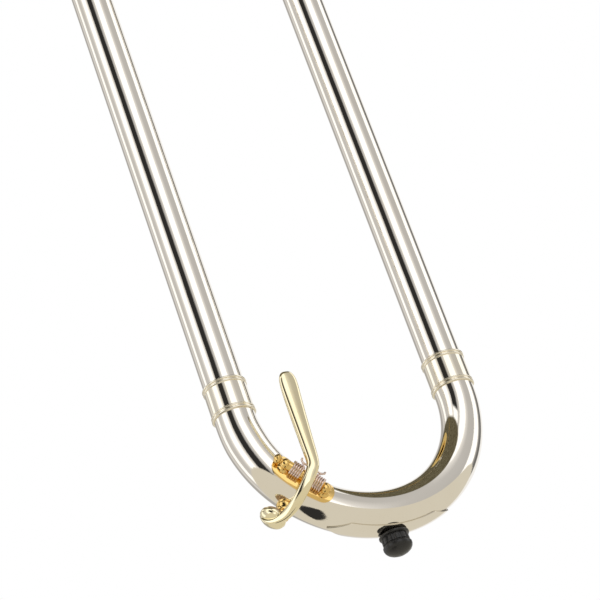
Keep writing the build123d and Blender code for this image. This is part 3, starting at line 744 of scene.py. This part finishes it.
def wind(centre, axis, turns, steps, advance=Vector((0, 0, 0))):
    """Winds the wire's end round an axis, moving along by advance in all."""
    global tip
    made = bmesh.ops.spin(spring, geom=tip, cent=centre, axis=axis, dvec=advance / steps,
                          angle=2 * math.pi * turns, steps=steps)
    ring = verts_of(made["geom_last"])
    tip = ring + [e for e in spring.edges if e.verts[0] in ring and e.verts[1] in ring]


COIL_AXIS, LOOP_AXIS = KEY_OUT.cross(KEY_DOWN), KEY_OUT.cross(KEY_ALONG)
start_loop, end_loop = FIRST_COIL + PITCH * TURNS, LAST_COIL - PITCH * TURNS
push(KEY_OUT, LEG)
wind(key_at(FIRST_COIL, 0, DROP), COIL_AXIS, TURNS, 108, KEY_ALONG * PITCH * TURNS)
push(-KEY_OUT, LOOP_ROOT)
push(-KEY_OUT * LOOP_SPREAD - KEY_ALONG * LOOP_FLARE, 1)
push(-KEY_OUT, LOOP_SIDE)
wind(key_at(start_loop - LOOP_FLARE + CORNER_R, CORNER_OUT, DROP), LOOP_AXIS, 0.25, 10)
push(KEY_ALONG, end_loop - start_loop + 2 * (LOOP_FLARE - CORNER_R))
wind(key_at(end_loop + LOOP_FLARE - CORNER_R, CORNER_OUT, DROP), LOOP_AXIS, 0.25, 10)
push(KEY_OUT, LOOP_SIDE)
push(KEY_OUT * LOOP_SPREAD - KEY_ALONG * LOOP_FLARE, 1)
push(KEY_OUT, LOOP_ROOT)
wind(key_at(end_loop, 0, DROP), -COIL_AXIS, TURNS, 108, KEY_ALONG * PITCH * TURNS)
push(-KEY_OUT, LEG)
spring_piece = finish_piece("key_spring_wire", spring, spring_bronze, "key_spring",
                            smooth=60, rigid=False)
key_at(0, 0, DROP - 2.2) * MM
key_at(0, 0, DROP + 2.2) * MM
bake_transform(spring_piece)
print("spring", len(spring_piece.data.polygons), "faces")

# %% [markdown]
# ## Braces
#
# A brace is a hollow tube with a flange at each end that is filed to sit on a round collar. The
# brace is turned straight, and then the rim of each flange is drawn down on to the collar: a
# point to the side of a round tube lies lower than one on its crest, by a rule of its radius.

# %% A brace between two round pieces
def brace(node, ends, tube_r, flange_r):
    """Turns a brace and seats its flanges. Each end is (y, z, radius of the round piece)."""
    low, high = span(node)
    x = (low.x + high.x) / 2
    (y0, z0, r0), (y1, z1, r1) = ends
    way = Vector((0, y1 - y0, z1 - z0)).normalized()
    start, end = Vector((x, y0, z0)) + way * r0, Vector((x, y1, z1)) - way * r1
    long = (end - start).length
    half = [(0, flange_r), (0.9, flange_r), (1.5, flange_r - 0.9), (2.6, tube_r + 1.0),
            (4.2, tube_r + 0.3), (6.5, tube_r)]
    middle = bead(long / 2 + 3.2, tube_r, 0.7) + bead(long / 2, tube_r, 1.1)
    middle += bead(long / 2 - 3.2, tube_r, 0.7)
    outline = half + middle[::-1] + [(long - d, r) for d, r in half[::-1]]
    bm = soften(turned([(0, tube_r - 0.8)] + outline + [(long, tube_r - 0.8)], 72), 0.12, 50)
    for vert in bm.verts:
        for near, radius, sign in ((vert.co.x, r0, -1), (long - vert.co.x, r1, 1)):
            if near < 3.0:
                sideways = min(abs(vert.co.y), radius - 0.1)
                sink = radius - math.sqrt(radius * radius - sideways * sideways)
                vert.co.x += sign * sink * (1 - max(0.0, near - 0.9) / 2.1)
    across = Vector((1, 0, 0)).cross(way)
    seat = Matrix((way, across, Vector((1, 0, 0)))).transposed().to_4x4()
    move(bm, Matrix.Translation(start) @ seat)
    return finish_piece(node + "_turned", bm, nickel_silver, node)


INNER_COLLAR_R, OUTER_COLLAR_R = 9.6, 9.5
brace("inner_brace", ((MOUTH_Y, 0, INNER_COLLAR_R), (BELL_Y, 0, INNER_COLLAR_R)), 4.8, 7.4)
brace("outer_brace", ((MOUTH_Y, 0, OUTER_COLLAR_R), (BELL_Y, 0, OUTER_COLLAR_R)), 5.2, 7.6)
brace("bell_brace_front", ((BELL_Y, 0, 10.95), (BELL_Y, BELL_Z, 14.4)), 4.8, 7.8)
brace("bell_brace_rear", ((BELL_Y, 0, 9.6), (BELL_Y, BELL_Z, 11.8)), 4.4, 7.2)
brace("tuning_brace", ((BELL_Y, 0, 9.5), (BELL_Y, BELL_Z, 11.5)), 4.0, 6.2)
print("five braces seated")

# %% [markdown]
# ## The inner slide
#
# The inner tubes are chromed so that they run freely, and their last stretch, the stocking, is a
# hair thicker, so that only it touches the outer tube. At the hand end each tube has a barrel
# with a cork inside that stops the slide softly, and a collar that the brace is soldered to. The
# outer tubes have such collars too, round their grip sleeves.

# %% Inner tubes, stockings, barrels and collars
INNER_BORE, INNER_R, STOCKING_R = 6.95, 7.2, 7.3
COLLAR_BORE, BARREL_R = 7.25, 10.2
for side in ("upper", "lower"):
    walls = plain_tube(length_of("inner_tube_" + side), INNER_BORE, INNER_R)
    turn_piece("inner_tube_" + side, walls, bare_chrome, 0.05)
    stocking = [(0, INNER_BORE), (110, INNER_BORE), (110, 7.25), (109.7, STOCKING_R)]
    stocking += [(0.6, STOCKING_R), (0, 7.22)]
    turn_piece("stocking_" + side, stocking, bare_chrome, 0.04)
    barrel = [(0, COLLAR_BORE), (2, COLLAR_BORE), (2, 8.6), (36, 8.6), (36, 9.7)]
    barrel += bead(35.2, 9.9, 0.35) + [(34.2, BARREL_R), (8.0, BARREL_R)]
    barrel += bead(7.0, 9.95, 0.3) + bead(5.2, 9.95, 0.3) + [(3.6, 10.1), (1.5, 9.8), (0, 9.0)]
    turn_piece("cork_barrel_" + side, barrel, nickel_silver, 0.1)
    turn_piece("slide_cork_" + side, plain_tube(15.6, 7.26, 8.45), cork, 0.2, 64)
    collar = [(0, COLLAR_BORE), (19, COLLAR_BORE), (19, 8.6), (18.2, 9.1)] + bead(17.2, 9.25, 0.3)
    collar += [(16.4, INNER_COLLAR_R), (2.6, INNER_COLLAR_R)]
    collar += bead(1.8, 9.25, 0.3) + [(0.8, 9.1), (0, 8.6)]
    turn_piece("inner_brace_collar_" + side, collar, nickel_silver, 0.08)
    outer_collar = [(0, 8.35), (20, 8.35), (20, 8.9), (19.3, 9.2)] + bead(18.4, 9.15, 0.3)
    outer_collar += [(17.5, OUTER_COLLAR_R), (2.5, OUTER_COLLAR_R)]
    outer_collar += bead(1.6, 9.15, 0.3) + [(0.7, 9.2), (0, 8.9)]
    turn_piece("outer_brace_collar_" + side, outer_collar, nickel_silver, 0.08)

# %% [markdown]
# ## Mouthpiece and receiver
#
# The mouthpiece is turned from one bar: a round rim, a deep cup, a narrow throat, and a tapered
# shank that wedges in the receiver. It is the piece people look at longest, so the cup and the
# body are given many stations and only a hairline bevel.

# %% Mouthpiece, receiver and leadpipe
rim = [(1.4, 13.0), (0.7, 13.7), (0.25, 14.7), (0.02, 15.9), (0.1, 17.1), (0.6, 18.3), (1.5, 19.2),
       (2.7, 19.65), (4.2, 19.7), (5.6, 19.3)]
body = [(7.6, 18.7), (10.4, 18.35), (13.4, 17.9), (16.4, 16.9), (19.4, 15.4), (22.4, 13.6),
        (25.4, 11.9), (28.4, 10.4), (31.4, 9.2), (34.4, 8.3), (37.4, 7.7), (40.4, 7.3)]
shank = [(43.0, 7.1), (58.6, 6.82), (87.0, 6.35)]
backbore = [(87.0, 5.5), (62.0, 4.6), (41.0, 3.9), (33.0, 3.55), (29.0, 3.6)]
cup_wall = [(27.0, 4.1), (25.0, 5.0), (22.0, 6.6), (19.0, 8.1), (16.0, 9.4), (13.0, 10.5),
            (10.0, 11.4), (7.0, 12.1), (4.0, 12.6)]
turn_piece("mouthpiece", rim + body + shank + backbore + cup_wall, silver_plate, 0.05, 128)
RECEIVER_R = 8.4
receiver = [(0, 6.9), (30, 6.4), (30, 6.98), (55.8, 6.98), (55.8, 8.3)]
receiver += bead(54.6, RECEIVER_R, 0.6) + bead(52.9, RECEIVER_R, 0.4)
receiver += [(52.0, RECEIVER_R), (10.4, RECEIVER_R)]
receiver += bead(9.4, RECEIVER_R, 0.4) + bead(7.8, RECEIVER_R, 0.8)
receiver += [(6.0, RECEIVER_R), (3.0, 8.9), (1.2, 9.2), (0.4, 9.2), (0, 9.0)]
turn_piece("mouthpiece_receiver", receiver, nickel_silver, 0.08)
leadpipe = [(0, 5.5), (96, 5.9), (215.7, 6.85), (215.7, 6.92), (0, 6.92)]
turn_piece("leadpipe", leadpipe, yellow_brass, 0.02, 64)

# %% [markdown]
# ## Bell connection
#
# The tenon is a cone that wedges in the socket, and a knurled nut draws the two together. The
# knurl is cut as even flutes round the nut: points at its outside are moved in by a power of a
# cosine of their angle. The lock ring and its pin keep the frame's own mesh, with a new finish.

# %% Tenon, socket and knurled nut
tenon = [(0, INNER_BORE), (41.8, INNER_BORE), (41.8, 9.3), (41.0, 9.7)] + bead(39.6, 9.7, 0.4)
tenon += [(38.2, 10.6), (35.0, 10.6), (35.0, 9.5), (0, 8.55)]
turn_piece("slide_tenon", tenon, nickel_silver, 0.1)
socket = [(0, 7.6), (25, 7.6), (25, 8.6), (26, 8.65), (58, 9.5), (58, 11.2), (40, 11.2)]
socket += bead(38.2, 11.2, 0.7) + [(36.4, 11.2), (8.0, 10.3)]
socket += bead(6.6, 10.1, 0.4) + bead(4.6, 9.9, 0.4) + [(3.2, 9.7), (1.0, 9.0), (0, 8.7)]
turn_piece("bell_socket", socket, nickel_silver, 0.1)

nut_bore = [(0, 11.35), (17.4, 11.35), (17.4, 9.8), (18.8, 9.8)]
nut_outside = [(18.8, 12.3), (17.6, 13.1), (16.6, 13.2), (16.2, 13.9), (2.8, 13.9), (2.4, 13.2),
               (1.4, 13.2), (0, 12.6)]
nut = turned(nut_bore + nut_outside, 240)
flute(nut, 40, 0.55, 2, lambda x, reach: reach > 13.6)
move(nut, Matrix.Translation((span("bell_lock_nut")[0].x, BELL_Y, 0)))
finish_piece("bell_lock_nut_knurled", nut, nickel_silver, "bell_lock_nut", smooth=50)
for node in ("slide_lock_ring", "slide_lock_pin"):
    frame["nodes"][node].data.materials.clear()
    frame["nodes"][node].data.materials.append(nickel_silver)
print("bell connection made")

# %% [markdown]
# ## The bell
#
# A bell follows a curve close to a power law: its radius grows slowly for most of its length and
# bursts open near the rim. The same rule draws the outside and the inside of the sheet here, and
# one full spin makes the shell. The stations along it crowd toward the rim, where it turns most.
# The rim is rolled over a wire, so it is a full round bead.

# %% Bell and rolled rim
RIM_X = span("bell_rim")[1].x - 1.5
RIM_R = 108.0
BELL_SCALE, BELL_POWER = 26.6, -0.8
BELL_STATIONS, CROWDING, SHEET = 90, 1.7, 0.5
ROLL_R, ROLL_SIDES = 1.7, 20


def bell_radius(x):
    """The bell's outside radius at a place along it."""
    return RIM_R * ((RIM_X - x + BELL_SCALE) / BELL_SCALE) ** BELL_POWER


tail_x, mouth_x = span("bell_stem")[0].x, RIM_X - 0.4
shares = [1 - (1 - k / BELL_STATIONS) ** CROWDING for k in range(BELL_STATIONS + 1)]
stations = [tail_x + (mouth_x - tail_x) * share for share in shares]
outside = [(x, bell_radius(x)) for x in stations]
inside = []
for x, r in outside:
    slope = bell_radius(min(x, RIM_X - 3) + 0.5) - bell_radius(min(x, RIM_X - 3) - 0.5)
    lean = math.hypot(1, slope)
    inside.append((x + SHEET * slope / lean, r - SHEET / lean))
bell = move(turned(outside + inside[::-1], 160), place_at(BELL_Y, BELL_Z))
finish_piece("bell_spun", bell, yellow_brass, "bell_stem", "bell_throat", "bell_flare", smooth=60)
turns = [2 * math.pi * k / ROLL_SIDES for k in range(ROLL_SIDES)]
roll = [(RIM_X - 0.2 + ROLL_R * math.cos(a), RIM_R - 0.6 + ROLL_R * math.sin(a)) for a in turns]
rolled_rim = move(turned(roll, 200), place_at(BELL_Y, BELL_Z))
finish_piece("bell_rim_rolled", rolled_rim, yellow_brass, "bell_rim", smooth=180)
print("bell", len(stations), "stations, rim radius", RIM_R)

# %% [markdown]
# ## Neckpipe and tuning slide
#
# The neckpipe tapers from the socket to the tuning slide. The tuning slide's inner legs run in
# fixed outer legs. A leg's own radius, the outer leg's outside and the bell ferrule's front bore
# are the three numbers of `LEGS`.

# %% Neckpipe, legs and ferrules
LEGS = {"lower": (8.30, 8.78, 8.78), "upper": (10.30, 10.50, 10.72)}
long = length_of("neckpipe")
neck = [(0, 8.33), (104, 7.05), (long, INNER_BORE), (long, 7.5), (104, 7.5), (0, 8.78)]
turn_piece("neckpipe", neck, yellow_brass, 0.03)
for side, (leg_r, cover_r, front_r) in LEGS.items():
    long = length_of("tuning_outer_leg_" + side)
    lip = cover_r + 0.6
    outer_leg = [(0, leg_r + 0.05), (long, leg_r + 0.05), (long, cover_r), (9.5, cover_r)]
    outer_leg += bead(8.6, cover_r, 0.4) + bead(7.0, cover_r, 0.7)
    outer_leg += [(5.6, cover_r + 0.2), (5.2, lip), (0.4, lip), (0, cover_r + 0.3)]
    turn_piece("tuning_outer_leg_" + side, outer_leg, nickel_silver, 0.06, 112)
    inner_leg = plain_tube(length_of("tuning_inner_leg_" + side), leg_r - 0.45, leg_r)
    turn_piece("tuning_inner_leg_" + side, inner_leg, nickel_silver, 0.04)
    top = cover_r + 0.72
    cover = [(0, cover_r + 0.03), (22, front_r + 0.03), (22, top)]
    cover += bead(20.9, top, 0.5) + bead(19.6, top, 0.3) + [(19.0, top), (3.0, top)]
    cover += bead(2.4, top, 0.3) + bead(1.1, top, 0.5) + [(0, top)]
    turn_piece("bell_ferrule_" + side, cover, nickel_silver, 0.05, 112)
    long = length_of("tuning_ferrule_" + side)
    step = leg_r + 0.9
    ferrule = [(0, leg_r + 0.06), (long, leg_r + 0.03), (long, cover_r + 0.1)]
    ferrule += bead(long - 1.2, cover_r + 0.3, 0.7) + bead(long - 3.0, cover_r + 0.2, 0.35)
    ferrule += [(3.6, step)] + bead(2.8, step, 0.35) + bead(1.1, step, 0.6) + [(0, step)]
    turn_piece("tuning_ferrule_" + side, ferrule, nickel_silver, 0.05, 112)

# %% [markdown]
# ### The tuning bow
#
# The tuning bow joins the two legs, so it is swept as the slide's bow was, with a radius that
# rises evenly with the angle from one leg's to the other's.

# %% Tuning bow
TURN_X, TURN_Z, TURN_R = span("tuning_bow")[1].x, BELL_Z / 2, BELL_Z / 2
BOW_START_R, BOW_GROWTH = 8.3, 2.0
tuning = half_turn((TURN_X, BELL_Y, 0), (TURN_X, BELL_Y, TURN_Z), (0, 1, 0), 140)
for vert in tuning.verts:
    angle = abs(math.atan2(TURN_X - vert.co.x, TURN_Z - vert.co.z))
    across, height = TURN_R * math.sin(angle), TURN_R * math.cos(angle)
    middle = Vector((TURN_X - across, BELL_Y, TURN_Z - height))
    vert.co = middle + (vert.co - middle) * (BOW_START_R + BOW_GROWTH * angle / math.pi)
tuning_piece = finish_piece("tuning_bow_bent", give_wall(tuning), yellow_brass, "tuning_bow",
                            smooth=50)
print("tuning bow", len(tuning_piece.data.polygons), "faces")

# %% [markdown]
# ## Room, light and camera
#
# A mirror shows only its room, so the room is the most important finish here. It is a white tent
# with grey panels that lie along the slide. The world's colour is a ramp of the angle round the
# slide's own direction, so every straight tube gets the same stripes. Four shapes break the tent:
# a dark gap beside the camera, a warm wall in front, a dim streaked wall far behind, and the dark
# blob of a stand. All four are masks on how far a direction points forward. The camera itself
# sees plain white.

# %% White tent with panels
TOWARD_CAMERA = Vector((0, 0.4339, -0.9009))
SIDEWAYS = Vector((0, -0.9009, -0.4339))
ROOM_STOPS = [(-180, 0.9), (-158, 0.42), (-140, 0.45), (-128, 0.78), (-117, 0.60), (-112, 0.70),
              (-109, 1.25), (-96, 1.25), (-93, 0.62), (-76, 0.60), (-66, 0.80), (-58, 1.4),
              (-43, 1.4), (-37, 0.95), (-28, 0.60), (7, 0.62), (11, 1.3), (38, 1.35), (42, 0.86),
              (55, 0.57), (83, 0.53), (86, 1.3), (109, 1.3),
              (113, 0.45), (126, 0.14), (136, 0.2), (140, 1.0), (180, 0.9)]
GAP_STOPS = [(-31, 0.0), (-28, 1.0), (-5, 1.0), (-3, 0.5), (2, 0.0)]
FAR_WALL, FRONT_WALL = (0.13, 0.11, 0.065), (0.71, 0.665, 0.56)


def tone(value):
    """A slightly warm grey, warmer where it is dim."""
    warm = 0.95 if value < 1 else 0.99
    return (value, value * (1 + warm) / 2, value * warm)


world = bpy.data.worlds.new("studio")
bpy.context.scene.world = world
room = Finish("studio", world)
direction = room.node("ShaderNodeTexCoord", {}, {}, output=0)
toward, sideways = room.share_along(direction, TOWARD_CAMERA), room.share_along(direction, SIDEWAYS)
angle = room.node("ShaderNodeMath", {"operation": "ARCTAN2"}, {0: sideways, 1: toward})
turn = angle * (0.5 / math.pi) + 0.5
panels = room.ramp(turn, [((a + 180) / 360, tone(v)) for a, v in ROOM_STOPS])
gap = room.ramp(turn, [((a + 180) / 360, v) for a, v in GAP_STOPS])
reach = room.share_along(direction, (1, 0, 0)) * 0.5 + 0.5
gap_tone = room.ramp(reach, [(0.17, tone(1.3)), (0.185, tone(0.03)), (0.6, tone(0.03))])
panels = room.blend(gap, panels, gap_tone)
front_wall = room.ramp(reach + sideways * 0.04, [(0.57, 0.0), (0.578, 1.0)])
panels = room.blend(front_wall, panels, FRONT_WALL)
lines = room.noise(direction, 60.0, 2.0, 0.8)
far_tone = room.ramp(lines, [(0.42, (0.05, 0.04, 0.02)), (0.5, FAR_WALL), (0.62, (0.22, 0.20, 0.13))])
far_wall = room.ramp(reach, [(0.03, 1.0), (0.11, 1.0), (0.125, 0.0)])
panels = room.blend(far_wall, panels, far_tone)
across = room.share_along(direction, (0, 1, 0))
stand = room.ramp(reach, [(0.885, 0.0), (0.895, 1.0)])
stand = stand * room.ramp(across, [(0.33, 0.0), (0.35, 1.0)])
panels = room.blend(stand, panels, tone(0.03))
seen = room.node("ShaderNodeLightPath", {}, {}, output=0)
lit = room.node("ShaderNodeBackground", {}, {"Color": panels, "Strength": 1.0})
plain = room.node("ShaderNodeBackground", {}, {"Color": (1, 1, 1, 1), "Strength": 1.0})
both = room.node("ShaderNodeMixShader", {}, {0: seen, 1: lit, 2: plain})
room.node("ShaderNodeOutputWorld", {}, {"Surface": both})
print("room with", len(ROOM_STOPS), "tones")

# %% [markdown]
# ### Floor
#
# A wide sheet of pale paper lies well below the instrument, in metres. Mirrors don't show it.

# %% Floor
FLOOR_SIZE, FLOOR_Z = 40.0, -2.6
floor = bmesh.new()
bmesh.ops.create_grid(floor, x_segments=1, y_segments=1, size=FLOOR_SIZE)
bmesh.ops.translate(floor, vec=(0, 0, FLOOR_Z), verts=floor.verts)
floor_mesh = bpy.data.meshes.new("floor")
floor.to_mesh(floor_mesh)
floor.free()
floor_piece = bpy.data.objects.new("floor", floor_mesh)
bpy.context.collection.objects.link(floor_piece)
paper = Finish("pale_paper")
grain = paper.noise(paper.object_place(), 3.0)
paper_tone = paper.blend(grain, (0.90, 0.90, 0.89), (0.93, 0.93, 0.92))
floor_mesh.materials.append(paper.surface({"Base Color": paper_tone, "Roughness": 0.8}))
floor_piece.visible_glossy = False
print("floor at", FLOOR_Z)

# %% [markdown]
# ### Camera and soft lamp
#
# The camera looks up at the bow from below with a long lens. Its three directions are its own
# right, up and back. The lamp is a large soft box above, which mirrors don't show either.

# %% Camera and soft lamp
CAMERA_AT = Vector((1.12514, 0.43294, -0.80551))
CAMERA_RIGHT = Vector((0.3028, -0.9032, -0.3041))
CAMERA_UP = Vector((-0.8348, -0.0975, -0.5418))
CAMERA_BACK = Vector((0.4597, 0.4179, -0.7836))
LAMP_AT, LAMP_BACK = (0.9, 1.4, 1.6), Vector((0.3, 1.3, 1.5))
camera_data = bpy.data.cameras.new("camera")
camera_data.lens, camera_data.sensor_width = 164.04, 36.0
camera_data.clip_start, camera_data.clip_end = 0.01, 60.0
camera = bpy.data.objects.new("camera", camera_data)
camera_turn = Matrix((CAMERA_RIGHT, CAMERA_UP, CAMERA_BACK)).transposed().to_4x4()
camera.matrix_world = Matrix.Translation(CAMERA_AT) @ camera_turn
bpy.context.collection.objects.link(camera)
bpy.context.scene.camera = camera

lamp_data = bpy.data.lights.new("soft_box", "AREA")
lamp_data.size, lamp_data.energy = 1.6, 28.0
lamp = bpy.data.objects.new("soft_box", lamp_data)
lamp.visible_glossy = False
lamp_turn = LAMP_BACK.to_track_quat("Z", "Y").to_matrix().to_4x4()
lamp.matrix_world = Matrix.Translation(LAMP_AT) @ lamp_turn
bpy.context.collection.objects.link(lamp)
bpy.context.scene.view_settings.view_transform = "Standard"
print("camera", [round(c, 3) for c in camera.location], "lens", camera_data.lens)
